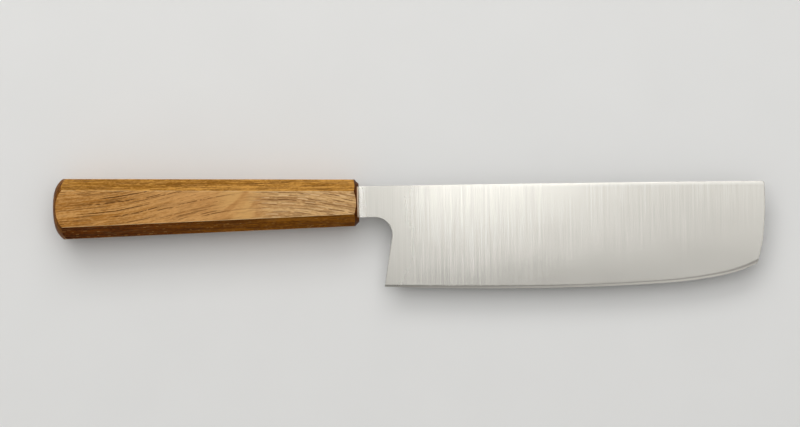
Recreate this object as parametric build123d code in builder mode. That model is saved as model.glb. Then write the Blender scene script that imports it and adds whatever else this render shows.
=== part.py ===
from build123d import *
import os
from math import hypot, tan, radians

# A nakiri, the straight-edged Japanese vegetable knife, lying on its side.
# X runs along the handle towards the nose, +Y towards the spine and +Z up, square to the
# blade. While the pieces are drawn, X is zero at the handle's front face, and Y and Z are
# zero on the handle's axis. All lengths are millimetres, all angles degrees.

# Blade outline, seen from the side
blade_length = 165.0
heel_reach = 10.4
spine_rise = 7.12
neck_fall = 0.05
spine_fall = 1.48
neck_height = 13.57
heel_depth = 36.5
heel_lean = 9.6
choil_radius = 7.5
belly_drop = 2.05
belly_share = 0.45
tip_rise = 6.6
tip_setback = 3.9
nose_front_depth = 1.5
nose_top_setback = 0.2
nose_corner_radius = 1.4
# Where the edge turns up towards the tip: shares of the length and of the rise
edge_turn_shares = ((0.73, 0.117), (0.89, 0.464))
# Where the nose turns in towards the tip: shares of its setback and of its depth
nose_turn_shares = (0.245, 0.567)

# Blade thickness and grind
spine_thickness = 2.0
nose_thickness = 1.9
edge_thickness = 0.5
# Lean of the bevels at the heel, at the edge's lowest point, at its two turns and at the tip
bevel_angles = (16.0, 9.3, 8.8, 9.3, 10.5)
arris_share = 0.45

# Neck and tang, hidden in the handle
neck_inset = 3.0
tang_length = 92.0
tang_root_height = 10.5
tang_end_height = 7.0
tang_thickness = 1.5
tang_corner_radius = 1.5

# Octagonal handle, from butt to front face
handle_length = 131.4
butt_height = 26.2
butt_thickness = 22.0
front_height = 20.0
front_thickness = 18.6
facet_depth = 5.15
facet_edge_radius = 0.35
butt_crown_rise = 0.25
butt_crown_share = 0.45
butt_rim_depth = 7.6
front_face_share = 0.77
front_round_depth = 2.2
front_round_bulge = 0.2
blank_share = 1.02

# Mortise, the glue in it and the bead that closes its mouth
mouth_gap = 0.3
glue_gap = 0.6
glue_pool = 3.0
seal_depth = 2.0
seal_proud = 0.2
seal_lip = 0.4
seal_round = 0.12

# How far a cutting shape runs past what it cuts
overrun = 10.0

# Places that follow from those sizes
heel_x = heel_reach
nose_x = heel_reach + blade_length
spine_end_y = spine_rise - spine_fall
neck_bottom_y = spine_rise - neck_height
heel_y = -heel_depth
belly_y = heel_y - belly_drop
tip_y = heel_y + tip_rise
tip_x = nose_x - tip_setback
half_stock = spine_thickness / 2
butt_corner = hypot(butt_height / 2, butt_thickness / 2 - facet_depth)
front_corner = hypot(front_height / 2, front_thickness / 2 - facet_depth)
distal_slope = (spine_thickness - nose_thickness) / 2 / nose_x
cheek_slope = (spine_thickness - edge_thickness) / 2 / (spine_rise + heel_depth)


def cheek_gap(x, y):
    """The blade's thickness from cheek to cheek, at a point of its side."""
    return spine_thickness - 2 * (distal_slope * x + cheek_slope * (spine_rise - y))


def draw_edge(height):
    """The line where a bevel stands that high over the middle plane, at zero the cutting edge.

    It is made of tangent arcs, the first from its lowest point back to the heel.
    """
    rise = tip_y - belly_y
    heel_lift, low_lift, *turn_lifts, tip_lift = (height / tan(radians(lean)) for lean in bevel_angles)
    low = (heel_x + belly_share * blade_length, belly_y + low_lift)
    turns = [(heel_x + along * blade_length, belly_y + up * rise + lift)
             for (along, up), lift in zip(edge_turn_shares, turn_lifts)]
    to_heel = TangentArc(low, (heel_x, heel_y + heel_lift), tangent=(-1, 0))
    belly = TangentArc(low, turns[0], tangent=(1, 0))
    sweep_up = TangentArc(turns[0], turns[1], tangent=belly % 1)
    to_tip = TangentArc(turns[1], (tip_x, tip_y + tip_lift), tangent=sweep_up % 1)
    return to_heel, to_tip


def draw_envelope(height):
    """What the bevels leave of the blade at a height, carried on past heel, tip and spine."""
    run = overrun + half_stock / tan(radians(min(bevel_angles)))
    top_y = spine_rise + run
    with BuildSketch(Plane.XY.offset(height)) as plan:
        with BuildLine():
            to_heel, to_tip = draw_edge(height)
            heel_run = Line(to_heel @ 1, to_heel @ 1 + (to_heel % 1) * (run + heel_reach + neck_inset))
            tip_run = Line(to_tip @ 1, to_tip @ 1 + (to_tip % 1) * run)
            Polyline(heel_run @ 1, ((heel_run @ 1).X, top_y), ((tip_run @ 1).X, top_y), tip_run @ 1)
        make_face()
    return plan.sketch


def draw_nose():
    """The blunt nose from tip corner up to the spine, vertical at its foremost point."""
    along, down = nose_turn_shares
    front = (nose_x, -nose_front_depth)
    turn = (nose_x - along * tip_setback, front[1] + down * (tip_y - front[1]))
    upper = TangentArc(front, turn, tangent=(0, -1))
    TangentArc(turn, (tip_x, tip_y), tangent=upper % 1)
    TangentArc(front, (nose_x - nose_top_setback, spine_end_y), tangent=(0, 1))


def draw_tang(side_gap, end_gap):
    """Side view of the stick tang, or with gaps of the mortise that takes it."""
    root = tang_root_height / 2 + side_gap
    end = tang_end_height / 2 + side_gap
    end_x = -neck_inset - tang_length - end_gap
    with BuildSketch() as side_view:
        Polygon((-neck_inset, root), (end_x, end), (end_x, -end), (-neck_inset, -root), align=None)
        fillet(side_view.vertices().group_by(Axis.X)[0], tang_corner_radius + side_gap)
    return side_view.sketch


def draw_mouth(from_x, to_x):
    """Side view of the slot that takes the neck, over a stretch of the handle."""
    low, top = neck_bottom_y - mouth_gap, spine_rise + mouth_gap
    with BuildSketch() as side_view:
        Polygon((from_x, low), (to_x, low), (to_x, top), (from_x, top), align=None)
    return side_view.sketch


tip_arris = arris_share * cheek_gap(tip_x, tip_y)
heel_arris = arris_share * cheek_gap(heel_x, heel_y)

# The V of the cutting edge, whose bevels lean over the blade and grow wider towards the tip
with BuildPart() as edge_envelope:
    loft(sections=[draw_envelope(height).face() for height in (0, half_stock)], ruled=True)
    mirror(about=Plane.XY)

# Blade: profiled from one sheet, ground flat from spine to edge, its arrises broken, then
# bevelled to a V. A thinner stick tang carries on from the neck.
with BuildPart() as blade:
    with BuildSketch() as profile:
        with BuildLine():
            spine_start = (-neck_inset, spine_rise)
            spine_end = (nose_x - nose_top_setback, spine_end_y)
            spine_turn = (heel_x, spine_rise - neck_fall)
            neck_end = (-neck_inset, neck_bottom_y)
            lean = (heel_depth + neck_bottom_y) * tan(radians(heel_lean))
            choil_corner = (heel_x + lean, neck_bottom_y)
            neck_top = Line(spine_start, spine_turn)
            TangentArc(spine_turn, spine_end, tangent=neck_top % 1)
            draw_nose()
            draw_edge(0)
            Polyline((heel_x, heel_y), choil_corner, neck_end, spine_start)
        make_face()
        fillet(profile.vertices().sort_by_distance(choil_corner)[0], choil_radius)
        fillet(profile.vertices().sort_by_distance(spine_end)[0], nose_corner_radius)
    extrude(amount=spine_thickness, both=True)
    for side in (1, -1):
        cheek = Plane((0, spine_rise, side * half_stock), z_dir=(distal_slope, -cheek_slope, side))
        split(bisect_by=cheek, keep=Keep.BOTTOM)
    arrises = blade.edges().filter_by(Axis.Z, reverse=True)
    arrises = arrises.filter_by(lambda e: e.center().Y > tip_y and e.center().X > -neck_inset)
    fillet(arrises.filter_by(lambda e: e.center().X > choil_corner[0]), tip_arris)
    fillet(arrises.filter_by(lambda e: e.center().X < choil_corner[0]), heel_arris)
    add(edge_envelope.part, mode=Mode.INTERSECT)
    extrude(draw_tang(0, 0), amount=tang_thickness / 2, both=True)

# The turned envelope that trims the handle's ends: a crowned butt and a rounded front
with BuildPart() as turned_envelope:
    with BuildSketch():
        with BuildLine():
            butt = (-handle_length, 0)
            crown_end = (-handle_length + butt_crown_rise, butt_crown_share * butt_corner)
            rim_end = (-handle_length + butt_rim_depth, blank_share * butt_corner)
            front_start = (-front_round_depth, blank_share * front_corner)
            face_edge = (0, front_face_share * front_corner)
            crown_arc = TangentArc(butt, crown_end, tangent=(0, 1))
            TangentArc(crown_end, rim_end, tangent=crown_arc % 1)
            Line(rim_end, front_start)
            SagittaArc(front_start, face_edge, -front_round_bulge)
            Polyline(face_edge, (0, 0), butt)
        make_face()
    revolve(axis=Axis.X)

# Handle: one tapered stick of wood, its four long corners planed off to eight facets, with a
# slot for the neck and a blind mortise for the tang
with BuildPart() as handle:
    with BuildSketch():
        butt_y, front_y = butt_height / 2, front_height / 2
        Polygon((-handle_length, butt_y), (-handle_length, -butt_y), (0, -front_y), (0, front_y),
                align=None)
    extrude(amount=butt_thickness, both=True)
    with BuildSketch(Plane.XZ):
        butt_z, front_z = butt_thickness / 2, front_thickness / 2
        Polygon((-handle_length, butt_z), (-handle_length, -butt_z), (0, -front_z), (0, front_z),
                align=None)
    extrude(amount=butt_height, both=True, mode=Mode.INTERSECT)
    chamfer(handle.edges().filter_by(lambda e: e.length > handle_length / 2), facet_depth)
    fillet(handle.edges().filter_by(lambda e: e.length > handle_length / 2), facet_edge_radius)
    add(turned_envelope.part, mode=Mode.INTERSECT)
    extrude(draw_tang(glue_gap, glue_pool), amount=tang_thickness / 2 + glue_gap, both=True,
            mode=Mode.SUBTRACT)
    extrude(draw_mouth(-neck_inset - glue_gap, overrun), amount=half_stock + mouth_gap, both=True,
            mode=Mode.SUBTRACT)

# Tang adhesive: cured resin that fills the mortise round the tang and behind the seal
with BuildPart() as tang_adhesive:
    extrude(draw_tang(glue_gap, glue_pool), amount=tang_thickness / 2 + glue_gap, both=True)
    extrude(draw_mouth(-neck_inset - glue_gap, -seal_depth), amount=half_stock + mouth_gap, both=True)
    add(blade.part, mode=Mode.SUBTRACT)

# Mouth seal: a pale bead that fills the slot round the neck and stands a little proud
with BuildPart() as mouth_seal:
    with BuildSketch(Plane.YZ):
        with Locations((spine_rise - neck_height / 2, 0)):
            lip = mouth_gap + seal_lip
            RectangleRounded(neck_height + 2 * lip, spine_thickness + 2 * lip, lip)
    extrude(amount=seal_proud)
    fillet(mouth_seal.faces().sort_by(Axis.X)[-1].edges(), seal_round)
    extrude(draw_mouth(-seal_depth, 0), amount=half_stock + mouth_gap, both=True)
    add(blade.part, mode=Mode.SUBTRACT)

# The knife lies on the lowest line of its handle, with the origin under the middle of its box
pieces = {
    "blade": blade,
    "handle": handle,
    "tang_adhesive": tang_adhesive,
    "mouth_seal": mouth_seal,
}
box = Compound([piece.part.solid() for piece in pieces.values()]).bounding_box()
origin = Vector(box.center().X, box.center().Y, box.min.Z)
print("origin in the drawing frame", origin, "size", box.size)

os.makedirs("parts", exist_ok=True)
for name, piece in pieces.items():
    piece.part = piece.part.moved(Location(-origin))
    piece.part.label = name
    export_step(piece.part, f"parts/{name}.step")
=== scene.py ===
# %% [markdown]
# # A nakiri, dressed for its picture
# The knife comes from its CAD model: a blade with a hidden tang, an eight-sided handle, the
# resin that holds the tang and a pale bead that closes the handle's mouth. This notebook
# gives those pieces their finishes, builds the bead anew, and sets up light and camera.
# Everything is in metres. X runs from the butt to the nose, +Y points to the spine, and Z is
# up, square to the blade.

# %% Load the model
from math import pi, radians

import bpy
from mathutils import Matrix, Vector


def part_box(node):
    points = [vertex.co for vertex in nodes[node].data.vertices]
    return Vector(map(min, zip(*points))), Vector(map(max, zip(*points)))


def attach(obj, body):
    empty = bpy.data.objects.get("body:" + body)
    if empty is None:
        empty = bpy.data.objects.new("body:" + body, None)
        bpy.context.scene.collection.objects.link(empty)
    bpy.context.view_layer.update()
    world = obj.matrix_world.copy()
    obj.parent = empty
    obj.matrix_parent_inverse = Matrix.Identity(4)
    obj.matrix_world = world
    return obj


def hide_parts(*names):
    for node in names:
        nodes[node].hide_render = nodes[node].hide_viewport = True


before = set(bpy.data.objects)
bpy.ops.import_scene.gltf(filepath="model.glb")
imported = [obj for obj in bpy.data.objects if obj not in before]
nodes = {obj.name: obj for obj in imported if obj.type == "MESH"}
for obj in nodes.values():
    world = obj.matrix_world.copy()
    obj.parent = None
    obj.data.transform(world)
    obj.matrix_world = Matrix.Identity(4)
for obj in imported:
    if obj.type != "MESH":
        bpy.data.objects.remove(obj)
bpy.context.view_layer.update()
MM = 0.001
print("pieces", sorted(nodes))

# %% [markdown]
# ## Where things are
# The handle's front face and its axis are the landmarks for most of what follows. They are
# read from the CAD pieces' own boxes, so nothing here has to be fitted by hand.

# %% Landmarks
handle_low, handle_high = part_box("handle")
blade_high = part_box("blade")[1]
bead_low, bead_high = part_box("mouth_seal")
BUTT_X, FRONT_X, NOSE_X = handle_low.x, handle_high.x, blade_high.x
HANDLE_LENGTH, BLADE_REACH = FRONT_X - BUTT_X, NOSE_X - FRONT_X
AXIS_Y = (handle_low.y + handle_high.y) / 2
AXIS_Z = (handle_low.z + handle_high.z) / 2
NECK_Y, SPINE_Y = (bead_low.y + bead_high.y) / 2, blade_high.y
print(f"handle {HANDLE_LENGTH / MM:.1f} mm, axis at y {AXIS_Y / MM:.2f}, z {AXIS_Z / MM:.2f}")
print(f"blade and neck {BLADE_REACH / MM:.1f} mm, middle of the neck at y {NECK_Y / MM:.2f}")

# %% [markdown]
# ## Camera
# The photo was taken from straight above, with the knife turned by a little over one degree.
# A camera a metre above the knife, rolled by that angle, gives the same picture. Its lens
# follows from how wide the view is at the height of the blade.

# %% Place the camera
CAMERA_HEIGHT = 1.0
VIEW_WIDTH = 345.5 * MM
VIEW_CENTRE = (FRONT_X + 17.67 * MM, AXIS_Y - 5.05 * MM)
CAMERA_ROLL = radians(-1.27)

camera_data = bpy.data.cameras.new("photo_camera")
camera_data.lens = camera_data.sensor_width * CAMERA_HEIGHT / VIEW_WIDTH
camera = bpy.data.objects.new("photo_camera", camera_data)
camera.location = (*VIEW_CENTRE, AXIS_Z + CAMERA_HEIGHT)
camera.rotation_euler = (0, 0, CAMERA_ROLL)
bpy.context.scene.collection.objects.link(camera)
bpy.context.scene.camera = camera
print(f"lens {camera_data.lens:.1f} mm, {CAMERA_HEIGHT} m above the blade")

# %% [markdown]
# ## Light
# Steel shows what it mirrors, so the lamps are made for the blade first, as rectangles of
# light that hang where a part of the blade mirrors them. The overhead panel is large, turned
# by a few degrees, and its near rim lies where the flat cheek mirrors it: the cheek is bright
# along the spine and fades towards the edge. A small glow panel adds the brighter patch under
# the spine, on the half next to the handle. The bevel leans over, so it mirrors a place far
# out on the edge's side, and a dim panel hangs there for the part towards the nose. The last
# panel, low on the spine's side, draws the light line along the spine and models the
# handle's facets.

# %% Lamps
bpy.context.scene.view_settings.view_transform = "Standard"


def hang_panel(name, place, size, radiance, aim=None):
    """A rectangular softbox of that radiance. It faces the point aim, or straight down."""
    aim = aim or (place[0], place[1], 0)
    data = bpy.data.lights.new(name, "AREA")
    data.shape = "RECTANGLE"
    data.size, data.size_y = size
    data.energy = radiance * size[0] * size[1] * pi
    panel = bpy.data.objects.new(name, data)
    panel.location = place
    panel.rotation_euler = (Vector(aim) - Vector(place)).to_track_quat("-Z", "Y").to_euler()
    bpy.context.scene.collection.objects.link(panel)
    print(f"{name}: {size[0]} x {size[1]} m, radiance {radiance}")
    return panel


OVERHEAD_TURN = radians(-6.5)
overhead = hang_panel("overhead_panel", place=(-0.2, 0.545, 1.45), size=(2.0, 1.1), radiance=1.53)
overhead.rotation_euler.z = OVERHEAD_TURN
hang_panel("glow_panel", place=(0.06, 0.08, 1.4), size=(0.13, 0.14), radiance=6.8)
hang_panel("bevel_panel", place=(0.6, -0.47, 1.45), size=(0.8, 0.26), radiance=0.45)
hang_panel("spine_side_panel", place=(-0.15, 1.05, 0.95), size=(1.4, 0.5), radiance=3.0,
           aim=(0, 0, 0))


# %% [markdown]
# ## Node helpers
# A material is a graph of nodes, and writing one out link by link hides what it does. A few
# short helpers keep the graphs readable. `add` makes a node, sets it up and feeds its inputs,
# whether from a number or from another node. `calc` does one step of arithmetic, of which
# MULTIPLY_ADD multiplies the first two values and adds the third. `ramp` turns one range of
# values into another, and most masks below are made with it. `paint` then lays a colour
# where such a mask is, as a painter would with a stencil.

# %% Helpers for node trees
def add(tree, kind, feeds=None, **settings):
    """A new node. feeds maps an input's name or number to a value or to another's output."""
    node = tree.nodes.new(kind)
    for key, value in settings.items():
        setattr(node, key, value)
    for key, value in (feeds or {}).items():
        if isinstance(value, bpy.types.NodeSocket):
            tree.links.new(value, node.inputs[key])
        else:
            node.inputs[key].default_value = value
    return node


def calc(tree, operation, *values):
    """One step of arithmetic on numbers and outputs."""
    feeds = dict(enumerate(values))
    return add(tree, "ShaderNodeMath", feeds, operation=operation).outputs[0]


def product(tree, first, *others):
    """Numbers and outputs, all multiplied."""
    for other in others:
        first = calc(tree, "MULTIPLY", first, other)
    return first


def weighted_sum(tree, *parts):
    """A sum of outputs. Each part is an output and its weight."""
    total = calc(tree, "MULTIPLY", *parts[-1])
    for value, weight in reversed(parts[:-1]):
        total = calc(tree, "MULTIPLY_ADD", value, weight, total)
    return total


def ramp(tree, value, low, high, to_low=0.0, to_high=1.0):
    """value from low to high becomes to_low to to_high, eased at both ends and held beyond."""
    feeds = {"Value": value, "From Min": low, "From Max": high, "To Min": to_low,
             "To Max": to_high}
    node = add(tree, "ShaderNodeMapRange", feeds, interpolation_type="SMOOTHSTEP")
    return node.outputs["Result"]


def split(tree, vector):
    """The X, Y and Z of a position or a direction."""
    return add(tree, "ShaderNodeSeparateXYZ", {"Vector": vector}).outputs


def blend(tree, share, first, second):
    """Two colours blended, second over first. Each is three numbers or an output."""
    feeds = {"Factor": share}
    for slot, colour in ((6, first), (7, second)):
        feeds[slot] = (*colour, 1) if isinstance(colour, tuple) else colour
    return add(tree, "ShaderNodeMix", feeds, data_type="RGBA").outputs[2]


def paint(tree, base, mask, colour, strength=1.0):
    """The base with the colour painted over it where the mask is 1, at that strength."""
    share = mask if strength == 1.0 else calc(tree, "MULTIPLY", mask, strength)
    return blend(tree, share, base, colour)


def blend_value(tree, share, first, second):
    """Two numbers blended, second over first."""
    feeds = {"Factor": share, "A": first, "B": second}
    return add(tree, "ShaderNodeMix", feeds).outputs["Result"]


# %% Helper for node groups
NUMBER, PLACE = "NodeSocketFloat", "NodeSocketVector"


def start_group(name, inputs, outputs, tree_type="ShaderNodeTree"):
    """An empty node group with named inputs and outputs, ready to be filled."""
    group = bpy.data.node_groups.new(name, tree_type)
    for label, kind, value in inputs:
        socket = group.interface.new_socket(label, in_out="INPUT", socket_type=kind)
        if value is not None:
            socket.default_value = value
    for label, kind in outputs:
        group.interface.new_socket(label, in_out="OUTPUT", socket_type=kind)
    given = group.nodes.new("NodeGroupInput").outputs
    return group, given, group.nodes.new("NodeGroupOutput").inputs


# %% [markdown]
# ## The room around the knife
# The floor ends in a pale backdrop, and above that the studio is dim. Both are one world: its
# strength depends on how high the direction points. Only the camera and mirrored rays see
# the pale backdrop. For everything else the world is a low, even fill, so the backdrop can
# be pale without lighting the knife.

# %% World
STUDIO_WHITE = (1, 0.99, 0.97, 1)


def make_room(fill, backdrop, backdrop_top=0.3, dim_from=0.75):
    """A world that fills evenly, and shows a pale backdrop from the floor to halfway up."""
    world = bpy.data.worlds.new("studio")
    world.use_nodes = True
    tree = world.node_tree
    shade = tree.nodes["Background"]
    shade.inputs["Color"].default_value = STUDIO_WHITE
    height = split(tree, add(tree, "ShaderNodeTexCoord").outputs["Generated"])["Z"]
    seen = ramp(tree, height, backdrop_top, dim_from, backdrop, fill)
    path = add(tree, "ShaderNodeLightPath").outputs
    shown = calc(tree, "MAXIMUM", path["Is Camera Ray"], path["Is Glossy Ray"])
    shown = calc(tree, "MAXIMUM", shown, path["Is Transmission Ray"])
    tree.links.new(blend_value(tree, shown, fill, seen), shade.inputs["Strength"])
    bpy.context.scene.world = world
    print(f"world fills with {fill}, backdrop {backdrop}")


make_room(fill=0.41, backdrop=0.72)

# %% [markdown]
# ## Shared effects
# Three effects turn up in more than one finish. Each is a node group, built once and placed
# with its own values in every finish that needs it. The first is noise that is squeezed hard
# in one direction. It divides the position by the size of one cell of the pattern, so a cell
# of 0.4 by 60 mm gives grinding lines on steel and one of 45 by 3 mm the bands in wood.

# %% Group: stretched noise
stretched_noise, given, result = start_group(
    "stretched_noise",
    [("Position", PLACE, None), ("Cell Size", PLACE, (MM, MM, MM)), ("Shift", NUMBER, 0.0),
     ("Detail", NUMBER, 2.0)],
    [("Value", NUMBER)],
)
cells = add(stretched_noise, "ShaderNodeVectorMath",
            {0: given["Position"], 1: given["Cell Size"]}, operation="DIVIDE")
moved = add(stretched_noise, "ShaderNodeVectorMath", {0: cells.outputs[0], 1: given["Shift"]})
noise = add(stretched_noise, "ShaderNodeTexNoise",
            {"Vector": moved.outputs[0], "Scale": 1.0, "Detail": given["Detail"]})
stretched_noise.links.new(noise.outputs["Fac"], result["Value"])
print("group", stretched_noise.name, "with", len(stretched_noise.nodes), "nodes")

# %% [markdown]
# The second group scatters specks: pits on the steel and bubbles in the resin. A Voronoi
# texture puts one point in each cell, and its distance from that point draws a round dot. The
# colour that it gives each cell is random, so it decides which cells keep their dot.

# %% Group: specks
SPECK_CORE = 0.4
specks, given, result = start_group(
    "specks",
    [("Position", PLACE, None), ("Spacing", PLACE, (MM, MM, MM)), ("Radius", NUMBER, 0.2),
     ("Share", NUMBER, 0.3)],
    [("Mask", NUMBER)],
)
cells = add(specks, "ShaderNodeVectorMath", {0: given["Position"], 1: given["Spacing"]},
            operation="DIVIDE")
dots = add(specks, "ShaderNodeTexVoronoi", {"Vector": cells.outputs[0], "Scale": 1.0})
luck = add(specks, "ShaderNodeSeparateColor", {"Color": dots.outputs["Color"]}).outputs
chosen = calc(specks, "LESS_THAN", luck[0], given["Share"])
core = calc(specks, "MULTIPLY", given["Radius"], SPECK_CORE)
inside = ramp(specks, dots.outputs["Distance"], given["Radius"], core)
specks.links.new(product(specks, chosen, inside), result["Mask"])
print("group", specks.name, "with", len(specks.nodes), "nodes")

# %% [markdown]
# The third group draws short strokes in rows: pores and flecks in the wood, scratches on the
# steel. The surface is ruled into rows of one stroke's width, each row is pushed along by an
# amount of its own, and then it is cut into cells of one stroke's length. White noise gives
# each cell three random numbers: whether it holds a stroke, how strong the stroke is, and how
# far its ends are drawn in.

# %% Group: strokes
ROW_PUSH = 9.0
FAINTEST, STRONGER_BY = 0.35, 0.55
strokes, given, result = start_group(
    "strokes",
    [("Along", NUMBER, 0.0), ("Across", NUMBER, 0.0), ("Length", NUMBER, MM),
     ("Width", NUMBER, MM), ("Share", NUMBER, 0.3), ("Shift", NUMBER, 0.0)],
    [("Mask", NUMBER)],
)
across_rows = calc(strokes, "DIVIDE", given["Across"], given["Width"])
across_rows = calc(strokes, "ADD", across_rows, given["Shift"])
row = calc(strokes, "FLOOR", across_rows)
push = add(strokes, "ShaderNodeTexWhiteNoise", {"W": row}, noise_dimensions="1D").outputs["Value"]
along_row = calc(strokes, "DIVIDE", given["Along"], given["Length"])
along_row = calc(strokes, "MULTIPLY_ADD", push, ROW_PUSH, along_row)
cell = add(strokes, "ShaderNodeCombineXYZ", {"X": calc(strokes, "FLOOR", along_row), "Y": row})
luck = add(strokes, "ShaderNodeTexWhiteNoise", {"Vector": cell.outputs[0]}, noise_dimensions="2D")
luck = add(strokes, "ShaderNodeSeparateColor", {"Color": luck.outputs["Color"]}).outputs


def from_rim(position):
    """0 at both rims of a cell and 1 in its middle."""
    off_middle = calc(strokes, "SUBTRACT", calc(strokes, "FRACT", position), 0.5)
    off_middle = calc(strokes, "ABSOLUTE", off_middle)
    return calc(strokes, "MULTIPLY_ADD", off_middle, -2.0, 1.0)


chosen = calc(strokes, "LESS_THAN", luck[0], given["Share"])
strength = calc(strokes, "MULTIPLY_ADD", luck[1], STRONGER_BY, FAINTEST)
end = calc(strokes, "MULTIPLY", luck[2], 0.5)
body = product(strokes, ramp(strokes, from_rim(across_rows), 0.42, 0.82),
               ramp(strokes, from_rim(along_row), end, calc(strokes, "ADD", end, 0.25)))
strokes.links.new(product(strokes, chosen, strength, body), result["Mask"])
print("group", strokes.name, "with", len(strokes.nodes), "nodes")


# %% [markdown]
# ## Starting a finish
# Every finish starts the same way: a material with one Principled shader, the position on
# the piece from its Object coordinates, and the direction that its surface faces. The three
# groups get a helper each, which takes sizes in millimetres.

# %% Start a finish
def start_finish(name, roughness, metallic=0.0):
    """A material with its tree, its shader, and the position and facing of the surface."""
    finish = bpy.data.materials.new(name)
    finish.use_nodes = True
    tree = finish.node_tree
    shader = tree.nodes["Principled BSDF"]
    shader.inputs["Roughness"].default_value = roughness
    shader.inputs["Metallic"].default_value = metallic
    place = add(tree, "ShaderNodeTexCoord").outputs
    return finish, tree, shader, place["Object"], place["Normal"]


def give_relief(tree, shader, height, strength, depth):
    """A bump from that height map, with a depth in millimetres."""
    feeds = {"Strength": strength, "Distance": depth * MM, "Height": height}
    bump = add(tree, "ShaderNodeBump", feeds)
    tree.links.new(bump.outputs["Normal"], shader.inputs["Normal"])


def dress(node, finish):
    """The finish on a CAD piece, in place of the plain colour that it came with."""
    mesh = nodes[node].data
    mesh.materials.clear()
    mesh.materials.append(finish)
    print(f"{node} wears {finish.name}, {len(finish.node_tree.nodes)} nodes")


# %% Place a shared effect
def noise_of(tree, position, cell, shift=0.0, detail=2.0):
    """Stretched noise whose cells have that size in millimetres."""
    feeds = {"Position": position, "Cell Size": [side * MM for side in cell], "Shift": shift,
             "Detail": detail}
    return add(tree, "ShaderNodeGroup", feeds, node_tree=stretched_noise).outputs["Value"]


def specks_of(tree, position, spacing, radius, share):
    """Specks about that many millimetres apart, of which only a share of places has one."""
    feeds = {"Position": position, "Spacing": [spacing * MM] * 3, "Radius": radius,
             "Share": share}
    return add(tree, "ShaderNodeGroup", feeds, node_tree=specks).outputs["Mask"]


def strokes_of(tree, along, across, length, width, share, shift=0.0):
    """Thin strokes of about that length and width in millimetres, each of its own strength."""
    feeds = {"Along": along, "Across": across, "Length": length * MM, "Width": width * MM,
             "Share": share, "Shift": shift}
    return add(tree, "ShaderNodeGroup", feeds, node_tree=strokes).outputs["Mask"]


# %% [markdown]
# ## The steel
# The cheeks are ground to a satin from spine to edge, so fine lines run across the blade,
# some broad and faint, some narrow, with a few longer scratches among them. A picture of
# brushed metal would do too, but it has seams and repeats, and noise has neither. The lines
# change the colour a little, the roughness a little, and the slope of the surface most, which
# is what makes a satin glow sideways. They are weaker near the middle of the blade and in
# its lower front, where the photo shows a calmer surface.

# %% Lines, haze and where they are weaker
CALM_MIDDLE, CALM_SLANT = 0.55, -0.45
CALM_CORNER, WORKED_FROM = -75 * MM, -22 * MM

steel, tree, shader, spot, facing = start_finish("satin_steel", roughness=0.3, metallic=1.0)
at = split(tree, spot)
past_handle = calc(tree, "DIVIDE", calc(tree, "SUBTRACT", at["X"], FRONT_X), BLADE_REACH)
hairlines = noise_of(tree, spot, (0.16, 26, 26), detail=1.0)
lines = noise_of(tree, spot, (0.38, 60, 40), shift=31.0)
haze = noise_of(tree, spot, (55, 30, 30), shift=83.0)
haziness = calc(tree, "SUBTRACT", haze, 0.5)
off_middle = calc(tree, "ABSOLUTE", calc(tree, "SUBTRACT", past_handle, CALM_MIDDLE))
off_middle = calc(tree, "MULTIPLY_ADD", haziness, 0.4, off_middle)
off_corner = calc(tree, "MULTIPLY_ADD", at["X"], CALM_SLANT, at["Y"])
worked = product(tree, ramp(tree, off_middle, 0.05, 0.3, to_low=0.5),
                 ramp(tree, off_corner, CALM_CORNER, WORKED_FROM, to_low=0.08))
print(f"calmest {CALM_MIDDLE:.0%} of the way to the nose")

# %% Satin of the cheeks
SATIN_DARK, SATIN_LIGHT = (0.413, 0.401, 0.368), (0.515, 0.502, 0.465)
SCRATCH = (0.61, 0.597, 0.558)

lightness = weighted_sum(tree, (hairlines, 0.4), (lines, 0.6))
lightness = calc(tree, "MULTIPLY", calc(tree, "SUBTRACT", lightness, 0.5), worked)
lightness = calc(tree, "MULTIPLY_ADD", haziness, 0.35, lightness)
satin = blend(tree, ramp(tree, lightness, -0.25, 0.25), SATIN_DARK, SATIN_LIGHT)
scratches = strokes_of(tree, at["Y"], at["X"], length=34, width=0.9, share=0.5, shift=2.6)
satin = paint(tree, satin, product(tree, scratches, worked), SCRATCH, strength=0.5)
print("satin from", SATIN_DARK, "to", SATIN_LIGHT)

# %% [markdown]
# The rest of the blade is worked in other ways, and each of them needs a mask. The sharpened
# bevel and the broken arrises are found by the direction that they face: the bevel leans over
# by 9 to 16 degrees, far more than the cheek's one, and the arrises lean more still. A painted
# highlight lies in a band under the spine and on the bit of steel next to the bead. The neck is
# rougher, and its colour is painted darker as painted shade.

# %% Masks of the bevel, the arrises, the spine and the neck
CHEEK_ENDS, BEVEL_ENDS, ARRIS_STARTS = (0.998, 0.994), (0.93, 0.955), (0.95, 0.85)
SPINE_FALL, HIGHLIGHT_BAND = 1.48 * MM, (1.9 * MM, 0.3 * MM)

upright = calc(tree, "ABSOLUTE", split(tree, facing)["Z"])
on_bevel = product(tree, ramp(tree, upright, *CHEEK_ENDS), ramp(tree, upright, *BEVEL_ENDS))
on_arris = ramp(tree, upright, *ARRIS_STARTS)
spine_here = calc(tree, "SUBTRACT", SPINE_Y, product(tree, past_handle, past_handle, SPINE_FALL))
under_spine = calc(tree, "SUBTRACT", spine_here, at["Y"])
# Painted highlight: a band under the spine, and a strip next to the bead.
painted_highlight = product(tree, ramp(tree, under_spine, *HIGHLIGHT_BAND),
                 ramp(tree, past_handle, 0.2, 0.6))
highlight_at_bead = ramp(tree, past_handle, 0.012, 0.003, to_high=0.4)
painted_highlight = calc(tree, "MAXIMUM", painted_highlight, highlight_at_bead)
at_neck = product(tree, ramp(tree, past_handle, 0.22, 0.05), ramp(tree, past_handle, 0.0, 0.03))
print(f"spine falls {SPINE_FALL / MM:.2f} mm over {BLADE_REACH / MM:.1f} mm")
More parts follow.
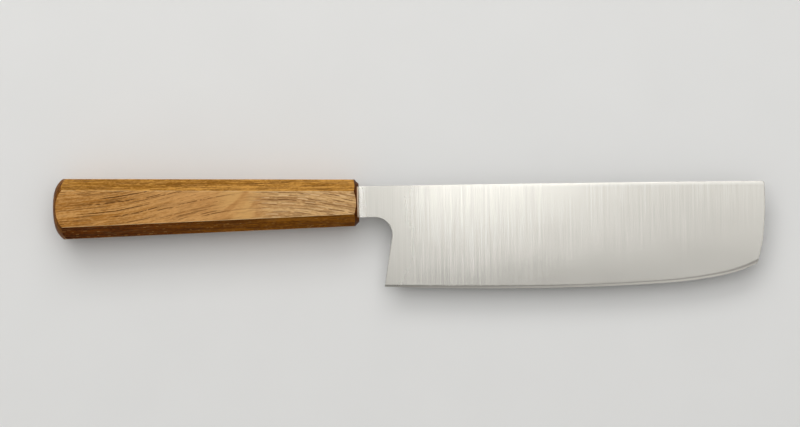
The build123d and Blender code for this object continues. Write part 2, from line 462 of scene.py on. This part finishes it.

# %% [markdown]
# The bevel was honed the other way, along the edge, so its lines run that way. Towards its
# shoulder it is painted darker, as painted shade. A few pits are scattered last.

# %% Colours of the steel
HONED_DARK, HONED_LIGHT = (0.62, 0.6, 0.55), (0.77, 0.75, 0.69)
HIGHLIGHT_STEEL, SHOULDER_SHADE, ARRIS = (0.74, 0.725, 0.68), (0.34, 0.325, 0.295), (0.78, 0.77, 0.73)
NECK_SHADE, PIT = (0.41, 0.4, 0.368), (0.12, 0.11, 0.1)
SHOULDER_STARTS, SHOULDER_FULL = 0.1 * MM, 0.16 * MM

# The steel is painted lighter there, as a painted highlight.
satin = paint(tree, satin, painted_highlight, HIGHLIGHT_STEEL, strength=0.42)
half_thickness = calc(tree, "ABSOLUTE", calc(tree, "SUBTRACT", at["Z"], AXIS_Z))
shoulder_shade_mask = ramp(tree, half_thickness, SHOULDER_STARTS, SHOULDER_FULL)
honing = noise_of(tree, spot, (12, 0.15, 0.15), shift=11.0)
honed = blend(tree, honing, HONED_DARK, HONED_LIGHT)
# The darker band towards the shoulder is painted shade.
honed = paint(tree, honed, shoulder_shade_mask, SHOULDER_SHADE, strength=0.65)
coloured = paint(tree, satin, on_bevel, honed)
coloured = paint(tree, coloured, on_arris, ARRIS)
# The neck is painted darker here, as painted shade.
coloured = paint(tree, coloured, at_neck, NECK_SHADE, strength=0.6)
pits = specks_of(tree, spot, spacing=14, radius=0.014, share=0.2)
coloured = paint(tree, coloured, pits, PIT)
tree.links.new(coloured, shader.inputs["Base Color"])
print("honed from", HONED_DARK, "to", HONED_LIGHT)

# %% [markdown]
# Roughness says how far a mirror image is smeared. It follows the lines and the haze, the
# arrises are glossier and the neck is duller. The bump is faint, because a deeper one breaks
# the light up into grains instead of lines.

# %% Gloss and relief of the steel
dullness = ramp(tree, haze, 0.35, 0.65, to_low=0.205, to_high=0.235)
for part, duller_by in ((lines, 0.02), (on_arris, -0.06), (at_neck, 0.06)):
    dullness = calc(tree, "MULTIPLY_ADD", part, duller_by, dullness)
tree.links.new(dullness, shader.inputs["Roughness"])
relief = weighted_sum(tree, (hairlines, 0.35), (lines, 0.3))
give_relief(tree, shader, relief, strength=0.1, depth=0.02)
dress("blade", steel)

# %% [markdown]
# ## The wood
# An open-pored, reddish-gold hardwood. Its pores are short dark strokes in rows that follow
# the grain, and the grain isn't straight: from the butt it climbs towards the spine, turns
# over in a smooth patch past the middle, and falls again towards the blade. Rings cut out of
# a bent log would give that, but they are hard to steer. Here a curve gives the rise and
# fall, and the pattern is drawn on a position from which it was taken away, so that the
# strokes follow the curve by themselves. On the side facets the same grain is cut lengthwise
# and looks straight, so the curve fades towards them.

# %% The way the grain runs
GRAIN_RISE = ((0, 0), (0.12, 0.08), (0.25, 0.235), (0.37, 0.5), (0.5, 0.8), (0.6, 0.95),
              (0.67, 1.0), (0.75, 0.98), (0.85, 0.88), (1, 0.6))
RISE_FULL, WANDER, QUIVER = 12.3 * MM, 1.2 * MM, 0.35 * MM
RISE_ON_FLANK = 0.12


def along_curve(tree, value, points):
    """A smooth curve through points, as a Float Curve node."""
    node = add(tree, "ShaderNodeFloatCurve", {"Value": value})
    line = node.mapping.curves[0]
    while len(line.points) < len(points):
        line.points.new(0.5, 0.5)
    for dot, (x, y) in zip(line.points, points):
        dot.location = (x, y)
    node.mapping.update()
    return node.outputs["Value"]


wood, tree, shader, spot, facing = start_finish("oiled_wood", roughness=0.42)
shader.inputs["Specular IOR Level"].default_value = 0.04
at, turned = split(tree, spot), split(tree, facing)
length_share = calc(tree, "DIVIDE", calc(tree, "SUBTRACT", at["X"], BUTT_X), HANDLE_LENGTH)
flank = ramp(tree, calc(tree, "ABSOLUTE", turned["Z"]), 0.95, 0.8)
rise = product(tree, along_curve(tree, length_share, GRAIN_RISE), RISE_FULL,
               ramp(tree, flank, 0.0, 1.0, to_low=1.0, to_high=RISE_ON_FLANK))
wander = noise_of(tree, spot, (24, 8, 8), shift=5.0)
rise = calc(tree, "MULTIPLY_ADD", wander, WANDER, rise)
quiver = noise_of(tree, spot, (5, 1.5, 1.5), shift=15.0)
rise = calc(tree, "MULTIPLY_ADD", quiver, QUIVER, rise)
level = calc(tree, "SUBTRACT", at["Y"], rise)
grain_spot = add(tree, "ShaderNodeCombineXYZ", {"X": at["X"], "Y": level, "Z": at["Z"]})
grain_spot = grain_spot.outputs[0]
print(f"the grain climbs {RISE_FULL / MM:.1f} mm")

# %% [markdown]
# A pore is drawn flat on the facet it opens in. So the strokes need the distance across the
# facet, which is the position along the direction that lies in the facet and square to the
# handle. That direction is the facing turned by a quarter turn.

# %% Across each facet
across = calc(tree, "MULTIPLY", level, turned["Z"])
across = calc(tree, "SUBTRACT", across, calc(tree, "MULTIPLY", at["Z"], turned["Y"]))
print("wood has", len(tree.nodes), "nodes so far")

# %% [markdown]
# Under the pores lies the tone of the wood. Broad bands, fine streaks and a mottle, all
# stretched along the grain, are added up, and their sum picks a tone between a dark and a
# light one. It gets a little lighter from the butt to the middle.

# %% Tone of the wood
GOLD_DARK, GOLD_LIGHT = (0.345, 0.143, 0.024), (0.58, 0.303, 0.096)
MIDDLE_GOLD = (0.6, 0.322, 0.122)

tone = noise_of(tree, grain_spot, (45, 3.2, 4.0), shift=21.0)
streaky = noise_of(tree, grain_spot, (16, 0.5, 0.6), shift=44.0, detail=3.0)
mottle = noise_of(tree, grain_spot, (1.5, 0.5, 0.5), shift=61.0, detail=3.0)
shade = weighted_sum(tree, (mottle, 0.35), (tone, 0.3), (streaky, 0.35))
light_part = ramp(tree, shade, 0.39, 0.61)
plain = blend(tree, light_part, GOLD_DARK, GOLD_LIGHT)
to_middle = ramp(tree, length_share, 0.15, 0.5)
plain = paint(tree, plain, to_middle, MIDDLE_GOLD, strength=0.45)
print("wood from", GOLD_DARK, "to", GOLD_LIGHT)

# %% [markdown]
# Past the middle the grain turns over, and the wood shows a smooth patch with a slanted
# figure of light and shade. From there to the blade it is paler and pinker.

# %% The smooth patch and the end near the blade
PATCH_SHADY, PATCH_GLOW = (0.42, 0.2, 0.06), (0.62, 0.355, 0.125)
PINK_DARK, PINK_LIGHT = (0.4, 0.215, 0.085), (0.68, 0.44, 0.2)
PATCH_SLANT = -0.9

slanted = {"X": calc(tree, "MULTIPLY_ADD", at["Y"], PATCH_SLANT, at["X"]), "Y": at["Y"]}
slanted = add(tree, "ShaderNodeCombineXYZ", slanted).outputs[0]
figure = noise_of(tree, slanted, (6, 11, 8), shift=33.0, detail=1.0)
on_patch = product(tree, ramp(tree, length_share, 0.5, 0.6),
                   ramp(tree, length_share, 0.74, 0.66))
shady = product(tree, on_patch, ramp(tree, figure, 0.5, 0.38, to_high=0.5))
plain = paint(tree, plain, shady, PATCH_SHADY)
glow = product(tree, on_patch, ramp(tree, figure, 0.4, 0.6, to_high=0.8))
plain = paint(tree, plain, glow, PATCH_GLOW)
towards_blade = ramp(tree, length_share, 0.62, 0.75)
pinkish = blend(tree, light_part, PINK_DARK, PINK_LIGHT)
plain = paint(tree, plain, towards_blade, pinkish, strength=0.8)
print("near the blade from", PINK_DARK, "to", PINK_LIGHT)

# %% [markdown]
# The side facets are painted as lit and shaded copies of the wood: more golden towards the
# spine as painted light, and a deep brown towards the edge as painted shade that warms up
# along the handle.

# %% Painted light and shade on the side facets
LIT_SPINE_DARK, LIT_SPINE_LIGHT = (0.245, 0.1, 0.01), (0.58, 0.287, 0.062)
SHADED_EDGE_DARK, SHADED_EDGE_LIGHT = (0.038, 0.006, 0.0002), (0.155, 0.036, 0.0008)
SHADED_WARM_DARK, SHADED_WARM_LIGHT = (0.15, 0.045, 0.0012), (0.33, 0.125, 0.0065)

lit_spine_tone = blend(tree, light_part, LIT_SPINE_DARK, LIT_SPINE_LIGHT)
shaded_edge_tone = blend(tree, light_part, SHADED_EDGE_DARK, SHADED_EDGE_LIGHT)
shaded_warm_tone = blend(tree, light_part, SHADED_WARM_DARK, SHADED_WARM_LIGHT)
warmer = ramp(tree, length_share, 0.25, 0.75, to_low=0.1, to_high=0.8)
shaded_edge_tone = paint(tree, shaded_edge_tone, warmer, shaded_warm_tone)
to_spine = ramp(tree, turned["Y"], -0.3, 0.3)
# Painted light on the facets towards the spine, painted shade on those towards the edge.
plain = paint(tree, plain, flank, blend(tree, to_spine, shaded_edge_tone, lit_spine_tone))
spine_side = product(tree, flank, to_spine)
edge_side = product(tree, flank, calc(tree, "SUBTRACT", 1.0, to_spine))
near_blade = product(tree, towards_blade, calc(tree, "SUBTRACT", 1.0, flank))
print("side facets from", SHADED_EDGE_DARK, "to", LIT_SPINE_LIGHT)

# %% [markdown]
# The pores come in four lengths, so that they don't look ruled: long ones with gaps in them,
# middle ones, faint short ones, and more of them towards the butt. On the main facets they
# thin out in the smooth patch, and a second curve says by how much.

# %% Pores
PORE = (0.085, 0.03, 0.006)
PORE_COVER = ((0, 1.0), (0.5, 1.0), (0.57, 0.6), (0.61, 0.35), (0.66, 0.35), (0.7, 0.6), (1, 0.6))
COVER_ON_FLANK = 0.8


def grain_strokes(length, width, share, shift=0.0):
    """Strokes along the grain, drawn flat on each facet."""
    return strokes_of(tree, at["X"], across, length, width, share, shift)


gaps = ramp(tree, noise_of(tree, grain_spot, (1.8, 0.5, 0.5), shift=90.0), 0.33, 0.44)
long_pores = product(tree, grain_strokes(34, 1.15, share=0.42), gaps)
middle_pores = grain_strokes(11, 0.95, share=0.18, shift=7.3)
short_pores = product(tree, grain_strokes(3, 0.7, share=0.2, shift=3.1), 0.45)
butt_pores = product(tree, grain_strokes(15, 0.85, share=0.3, shift=27.4),
                     ramp(tree, length_share, 0.34, 0.14, to_high=0.85))
pores = calc(tree, "MAXIMUM", calc(tree, "MAXIMUM", long_pores, middle_pores), short_pores)
pores = calc(tree, "MAXIMUM", pores, butt_pores)
cover = along_curve(tree, length_share, PORE_COVER)
pores = product(tree, pores, blend_value(tree, flank, cover, COVER_ON_FLANK))
grained = paint(tree, plain, pores, PORE)
print("pores of", PORE, "cover", PORE_COVER[0][1], "at the butt and", PORE_COVER[-1][1], "in front")

# %% [markdown]
# Other strokes belong to one part of the handle each: short dashes on the spine's side, pale
# lines of painted highlight on open pores and thin dark lines near the blade, dark dashes and
# pale flecks on the edge's side. Soft smears lie everywhere. Each goes over what was painted
# before it.

# %% Dashes, lines, smears and flecks
SPINE_DASH, EDGE_DASH, FLECK = (0.15, 0.055, 0.004), (0.045, 0.012, 0.0004), (0.62, 0.36, 0.12)
PORE_HIGHLIGHT, THIN_LINE, SMEAR = (0.74, 0.5, 0.26), (0.16, 0.072, 0.025), (0.2, 0.1, 0.035)

spine_dashes = product(tree, grain_strokes(5, 0.9, share=0.38, shift=15.9), spine_side)
painted_pore_highlights = product(tree, grain_strokes(8, 1.2, share=0.6, shift=20.2), near_blade)
thin_lines = product(tree, grain_strokes(9, 1.05, share=0.65, shift=12.7), near_blade)
smears = noise_of(tree, grain_spot, (9, 0.8, 0.9), shift=2.0, detail=3.0)
smears = product(tree, ramp(tree, smears, 0.52, 0.64),
                 ramp(tree, towards_blade, 0.0, 1.0, to_low=0.25, to_high=0.3))
edge_dashes = product(tree, grain_strokes(8, 0.85, share=0.4, shift=23.5), edge_side)
flecks = product(tree, grain_strokes(1.8, 0.6, share=0.09, shift=9.4), edge_side)
grained = paint(tree, grained, spine_dashes, SPINE_DASH)
# The pale lines are painted highlights on the pores.
grained = paint(tree, grained, painted_pore_highlights, PORE_HIGHLIGHT)
grained = paint(tree, grained, thin_lines, THIN_LINE)
grained = paint(tree, grained, smears, SMEAR)
grained = paint(tree, grained, edge_dashes, EDGE_DASH, strength=0.7)
grained = paint(tree, grained, flecks, FLECK, strength=0.5)
print("wood has", len(tree.nodes), "nodes so far")

# %% [markdown]
# At the butt and on the rounded front the saw has cut across the pores. Such end grain drinks
# more oil and is darker, and it shows the rings. It is found by its facing along the handle,
# and the butt's is a little lighter than the front's.

# %% End grain
FRONT_END_DARK, FRONT_END_LIGHT = (0.048, 0.011, 0.0004), (0.125, 0.034, 0.001)
BUTT_END_DARK, BUTT_END_LIGHT = (0.095, 0.028, 0.0006), (0.23, 0.08, 0.002)

sideways = calc(tree, "ABSOLUTE", turned["X"])
end_grain = ramp(tree, sideways, 0.2, 0.55)
rings = ramp(tree, noise_of(tree, spot, (3, 1.4, 0.5), shift=70.0, detail=3.0), 0.35, 0.65)
front_end = blend(tree, rings, FRONT_END_DARK, FRONT_END_LIGHT)
butt_end = blend(tree, rings, BUTT_END_DARK, BUTT_END_LIGHT)
ends = blend(tree, ramp(tree, length_share, 0.6, 0.4), front_end, butt_end)
coloured = paint(tree, grained, end_grain, ends)
print("end grain from", FRONT_END_DARK, "to", BUTT_END_LIGHT)

# %% [markdown]
# The corners between the facets are rubbed paler and carry a painted highlight, both in one
# colour. The facing tells them too: on the facets it leans by a multiple of 45 degrees, and in
# between on a corner. The cosine of eight times that angle is 1 on every facet and -1 on every
# corner.

# %% Worn facet edges with a painted highlight
FACETS = 8.0
WEAR_AND_HIGHLIGHT = (0.82, 0.58, 0.3)

lean = calc(tree, "ARCTAN2", calc(tree, "ABSOLUTE", turned["Y"]),
            calc(tree, "ABSOLUTE", turned["Z"]))
between = calc(tree, "COSINE", calc(tree, "MULTIPLY", lean, FACETS))
on_corner = product(tree, ramp(tree, between, 0.7, -0.5),
                    calc(tree, "SUBTRACT", 1.0, end_grain))
wear_and_highlight_mask = noise_of(tree, spot, (7, 4, 4), shift=51.0)
wear_and_highlight_mask = ramp(tree, wear_and_highlight_mask, 0.35, 0.6, to_low=0.35, to_high=0.95)
# Pale corners: wear, with a painted highlight in the same colour.
coloured = paint(tree, coloured, product(tree, on_corner, wear_and_highlight_mask), WEAR_AND_HIGHLIGHT)
print("worn corners", WEAR_AND_HIGHLIGHT)

# %% [markdown]
# A painted reflection of the bright neck lies on the last bit of the rounded front, where the
# neck comes out. Position finds it. On the front's flat part it is painted much fainter.

# %% Painted reflection on the rounded front
NECK_REFLECTION = (0.72, 0.57, 0.42)
REFLECTION_ENDS, REFLECTION_STARTS = (7.4 * MM, 6.6 * MM), (FRONT_X - 0.65 * MM, FRONT_X - 0.45 * MM)
REFLECTION_RAGGED = 1.0 * MM

off_neck = calc(tree, "ABSOLUTE", calc(tree, "SUBTRACT", at["Y"], NECK_Y))
ragged = noise_of(tree, spot, (0.5, 1.2, 1.2), shift=29.0)
off_neck = calc(tree, "MULTIPLY_ADD", ragged, REFLECTION_RAGGED, off_neck)
painted_reflection = product(tree, ramp(tree, off_neck, *REFLECTION_ENDS), ramp(tree, at["X"], *REFLECTION_STARTS),
               ramp(tree, sideways, 0.995, 0.97, to_low=0.16))
# The pale colour here is a painted reflection of the neck.
coloured = paint(tree, coloured, painted_reflection, NECK_REFLECTION, strength=0.85)
tree.links.new(coloured, shader.inputs["Base Color"])
print(f"film up to {REFLECTION_ENDS[0] / MM:.1f} mm from the neck's middle")

# %% [markdown]
# Oil makes the wood gleam a little, the open pores stay dull, and the corners are polished by
# hands. In the relief, each pore is a small valley.

# %% Gloss and relief of the wood
dullness = ramp(tree, shade, 0.3, 0.7, to_low=0.36, to_high=0.44)
for part, duller_by in ((pores, 0.25), (on_corner, -0.1)):
    dullness = calc(tree, "MULTIPLY_ADD", part, duller_by, dullness)
tree.links.new(dullness, shader.inputs["Roughness"])
relief = weighted_sum(tree, (streaky, 0.25), (pores, -1.0))
give_relief(tree, shader, relief, strength=0.5, depth=0.12)
dress("handle", wood)

# %% [markdown]
# ## The resins
# The tang sits in clear resin that nobody sees once the knife is glued. The bead at the
# handle's mouth is filled with a pale powder, so it is matt and beige. Both are a little
# cloudy and have pinholes left by bubbles, so one helper makes both.

# %% Two resins
PINHOLE_SHADE, GLOSS_SPREAD = 0.4, 0.06


def resin(name, dark_colour, light_colour, roughness, pinholes):
    """A cured resin, a little cloudy, with a share of places that has pinholes."""
    finish, tree, shader, spot, _ = start_finish(name, roughness)
    cloud = noise_of(tree, spot, (1.6, 1.1, 1.1), shift=3.0)
    holes = specks_of(tree, spot, spacing=0.5, radius=0.2, share=pinholes)
    in_hole = tuple(PINHOLE_SHADE * part for part in dark_colour)
    colour = paint(tree, blend(tree, cloud, dark_colour, light_colour), holes, in_hole)
    tree.links.new(colour, shader.inputs["Base Color"])
    dullness = ramp(tree, cloud, 0.3, 0.7, to_low=roughness - GLOSS_SPREAD,
                    to_high=roughness + GLOSS_SPREAD)
    tree.links.new(dullness, shader.inputs["Roughness"])
    give_relief(tree, shader, calc(tree, "SUBTRACT", cloud, holes), strength=0.4, depth=0.05)
    return finish


bead_resin = resin("bead_resin", (0.6, 0.53, 0.42), (0.74, 0.67, 0.55), 0.45, pinholes=0.12)
tang_resin = resin("tang_resin", (0.42, 0.29, 0.12), (0.55, 0.42, 0.2), 0.3, pinholes=0.3)
dress("tang_adhesive", tang_resin)

# %% [markdown]
# ## The bead at the mouth
# Resin is pressed into the slot round the neck and smoothed with a finger, so its rim is
# soft and never quite even. A sweep is the natural way to build it: one closed path runs
# round the neck and a small section follows it. Geometry Nodes do both sweeps, one for the
# plug in the slot and one for the lip on the wood, and noise then sinks the lip unevenly.
# Everything that gives it its size is a named input, so another knife needs other numbers
# only.

# %% Tree of the bead
COUNT, SHAPE, FINISH = "NodeSocketInt", "NodeSocketGeometry", "NodeSocketMaterial"
bead_tree, given, result = start_group(
    "mouth_bead",
    [("Middle", PLACE, None), ("Neck Height", NUMBER, 0.013), ("Spine Width", NUMBER, 0.002),
     ("Lower Width", NUMBER, 0.0015), ("Plug Width", NUMBER, 0.0003),
     ("Plug Depth", NUMBER, 0.002), ("Lip Width", NUMBER, 0.0007),
     ("Lip Height", NUMBER, 0.0002), ("Unevenness", NUMBER, 0.00005), ("Seed", COUNT, 0),
     ("Resin", FINISH, None)],
    [("Geometry", SHAPE)],
    tree_type="GeometryNodeTree",
)
print("inputs of the bead", [item.name for item in bead_tree.interface.items_tree])


# %% [markdown]
# The neck's section is a trapezoid, because the cheeks taper from the spine down. The path is
# that trapezoid, made wider by one width of the ring, so that the ring's inner wall lies on
# the steel. It is drawn flat, so it is then stood on end and moved to the handle's front.

# %% A ring round the neck
PATH_POINTS, CORNER_POINTS, SECTION_POINTS = 220, 5, 4


def sweep_round_neck(width, height, rounding):
    """A ring of that width and height whose inner wall lies on the neck."""
    sides = [calc(bead_tree, "ADD", given[side], width)
             for side in ("Neck Height", "Lower Width", "Spine Width")]
    neck = add(bead_tree, "GeometryNodeCurvePrimitiveQuadrilateral",
               {"Height": sides[0], "Bottom Width": sides[1], "Top Width": sides[2],
                "Offset": 0.0}, mode="TRAPEZOID").outputs[0]
    half = calc(bead_tree, "MULTIPLY", width, 0.5)
    soft = add(bead_tree, "GeometryNodeFilletCurve",
               {"Curve": neck, "Count": CORNER_POINTS, "Radius": half}, mode="POLY").outputs[0]
    path = add(bead_tree, "GeometryNodeResampleCurve",
               {"Curve": soft, "Count": PATH_POINTS}).outputs[0]
    section = add(bead_tree, "GeometryNodeCurvePrimitiveQuadrilateral",
                  {"Width": width, "Height": height}).outputs[0]
    radius = calc(bead_tree, "MULTIPLY", height, rounding)
    section = add(bead_tree, "GeometryNodeFilletCurve",
                  {"Curve": section, "Count": SECTION_POINTS, "Radius": radius},
                  mode="POLY").outputs[0]
    feeds = {"Curve": path, "Profile Curve": section}
    return add(bead_tree, "GeometryNodeCurveToMesh", feeds).outputs[0]


def set_down(ring, along):
    """The ring moved along the handle and stood on end, round the neck."""
    lifted = add(bead_tree, "ShaderNodeCombineXYZ", {"Z": along}).outputs[0]
    ring = add(bead_tree, "GeometryNodeTransform",
               {"Geometry": ring, "Translation": lifted}).outputs[0]
    return add(bead_tree, "GeometryNodeTransform",
               {"Geometry": ring, "Rotation": (0, pi / 2, 0),
                "Translation": given["Middle"]}).outputs[0]


# %% Plug and lip
PLUG_ROUNDING, LIP_ROUNDING = 0.02, 0.48
DIP_SIZE = 1.3 * MM

plug = sweep_round_neck(given["Plug Width"], given["Plug Depth"], PLUG_ROUNDING)
plug = set_down(plug, calc(bead_tree, "MULTIPLY", given["Plug Depth"], -0.5))
lip = sweep_round_neck(given["Lip Width"], given["Lip Height"], LIP_ROUNDING)
lip = set_down(lip, calc(bead_tree, "MULTIPLY", given["Lip Height"], 0.5))
spot = add(bead_tree, "GeometryNodeInputPosition").outputs[0]
cells = add(bead_tree, "ShaderNodeVectorMath", {0: spot, 1: (DIP_SIZE, DIP_SIZE, DIP_SIZE)},
            operation="DIVIDE").outputs[0]
dips = add(bead_tree, "ShaderNodeTexNoise", {"Vector": cells, "W": given["Seed"], "Scale": 1.0},
           noise_dimensions="4D").outputs["Fac"]
sunk = product(bead_tree, dips, given["Unevenness"], -1.0)
outward = add(bead_tree, "GeometryNodeInputNormal").outputs[0]
shift = add(bead_tree, "ShaderNodeVectorMath", {0: outward, "Scale": sunk},
            operation="SCALE").outputs[0]
lip = add(bead_tree, "GeometryNodeSetPosition", {"Geometry": lip, "Offset": shift}).outputs[0]
both = add(bead_tree, "GeometryNodeJoinGeometry")
for ring in (plug, lip):
    bead_tree.links.new(ring, both.inputs[0])
real = add(bead_tree, "GeometryNodeRealizeInstances", {"Geometry": both.outputs[0]}).outputs[0]
coated = add(bead_tree, "GeometryNodeSetMaterial",
             {"Geometry": real, "Material": given["Resin"]}).outputs[0]
bead_tree.links.new(coated, result["Geometry"])
print("tree of the bead has", len(bead_tree.nodes), "nodes")

# %% [markdown]
# The tree is a recipe, and a modifier on an empty mesh follows it. What it grows is then kept
# as a plain mesh, which is what a library can use. The bead's overall size comes from the
# CAD bead that it replaces, and the print compares the two.

# %% Grow the bead
SPINE_THICKNESS, CHEEK_LEAN = 2 * MM, 0.0172
LIP_WIDTH, LIP_HEIGHT, LIP_UNEVENNESS = 0.7 * MM, 0.2 * MM, 0.12 * MM
PLUG_WIDTH, PLUG_DEPTH = 0.3 * MM, 2 * MM

neck_height = bead_high.y - bead_low.y - 2 * LIP_WIDTH
bead_sizes = {
    "Middle": (FRONT_X, NECK_Y, AXIS_Z), "Neck Height": neck_height,
    "Spine Width": SPINE_THICKNESS, "Lower Width": SPINE_THICKNESS - 2 * CHEEK_LEAN * neck_height,
    "Plug Width": PLUG_WIDTH, "Plug Depth": PLUG_DEPTH, "Lip Width": LIP_WIDTH,
    "Lip Height": LIP_HEIGHT, "Unevenness": LIP_UNEVENNESS, "Seed": 4, "Resin": bead_resin,
}
draft = bpy.data.objects.new("bead_draft", bpy.data.meshes.new("bead_draft"))
bpy.context.scene.collection.objects.link(draft)
grower = draft.modifiers.new("mouth_bead", "NODES")
grower.node_group = bead_tree
for socket in bead_tree.interface.items_tree:
    if socket.in_out == "INPUT":
        grower[socket.identifier] = bead_sizes[socket.name]
grown = draft.evaluated_get(bpy.context.evaluated_depsgraph_get())
bead_mesh = bpy.data.meshes.new_from_object(grown)
draft.modifiers.remove(grower)
bpy.data.objects.remove(draft)
print("bead faces", len(bead_mesh.polygons))

# %% Put the bead in its place
bead_mesh.polygons.foreach_set("use_smooth", [True] * len(bead_mesh.polygons))
bead_mesh.polygons.foreach_set("material_index", [0] * len(bead_mesh.polygons))
bead_mesh.materials.clear()
bead_mesh.materials.append(bead_resin)
bead = bpy.data.objects.new("mouth_bead", bead_mesh)
bpy.context.scene.collection.objects.link(bead)
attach(bead, "root")
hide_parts("mouth_seal")
spots = [corner.co for corner in bead_mesh.vertices]
for axis in range(3):
    low, high = min(v[axis] for v in spots), max(v[axis] for v in spots)
    print("xyz"[axis], f"bead {low / MM:.3f} to {high / MM:.3f}",
          f"CAD {bead_low[axis] / MM:.3f} to {bead_high[axis] / MM:.3f} mm")

# %% [markdown]
# ## The floor
# A plain pale sheet, so that nothing competes with the knife. It is large enough to reach the
# backdrop in every view, and a broad, faint mottle keeps it from looking like a flat fill.

# %% Floor
FLOOR_HALF = 3.0
PAPER_DARK, PAPER_LIGHT = (0.74, 0.74, 0.73), (0.77, 0.77, 0.76)

floor_mesh = bpy.data.meshes.new("floor")
corners = [(x * FLOOR_HALF, y * FLOOR_HALF, 0) for x, y in ((-1, -1), (1, -1), (1, 1), (-1, 1))]
floor_mesh.from_pydata(corners, [], [(0, 1, 2, 3)])
floor = bpy.data.objects.new("floor", floor_mesh)
bpy.context.scene.collection.objects.link(floor)
paper, tree, shader, spot, _ = start_finish("pale_paper", roughness=0.9)
mottle = noise_of(tree, spot, (40, 40, 40))
tree.links.new(blend(tree, mottle, PAPER_DARK, PAPER_LIGHT), shader.inputs["Base Color"])
floor_mesh.materials.append(paper)
print(f"floor {2 * FLOOR_HALF} m square")
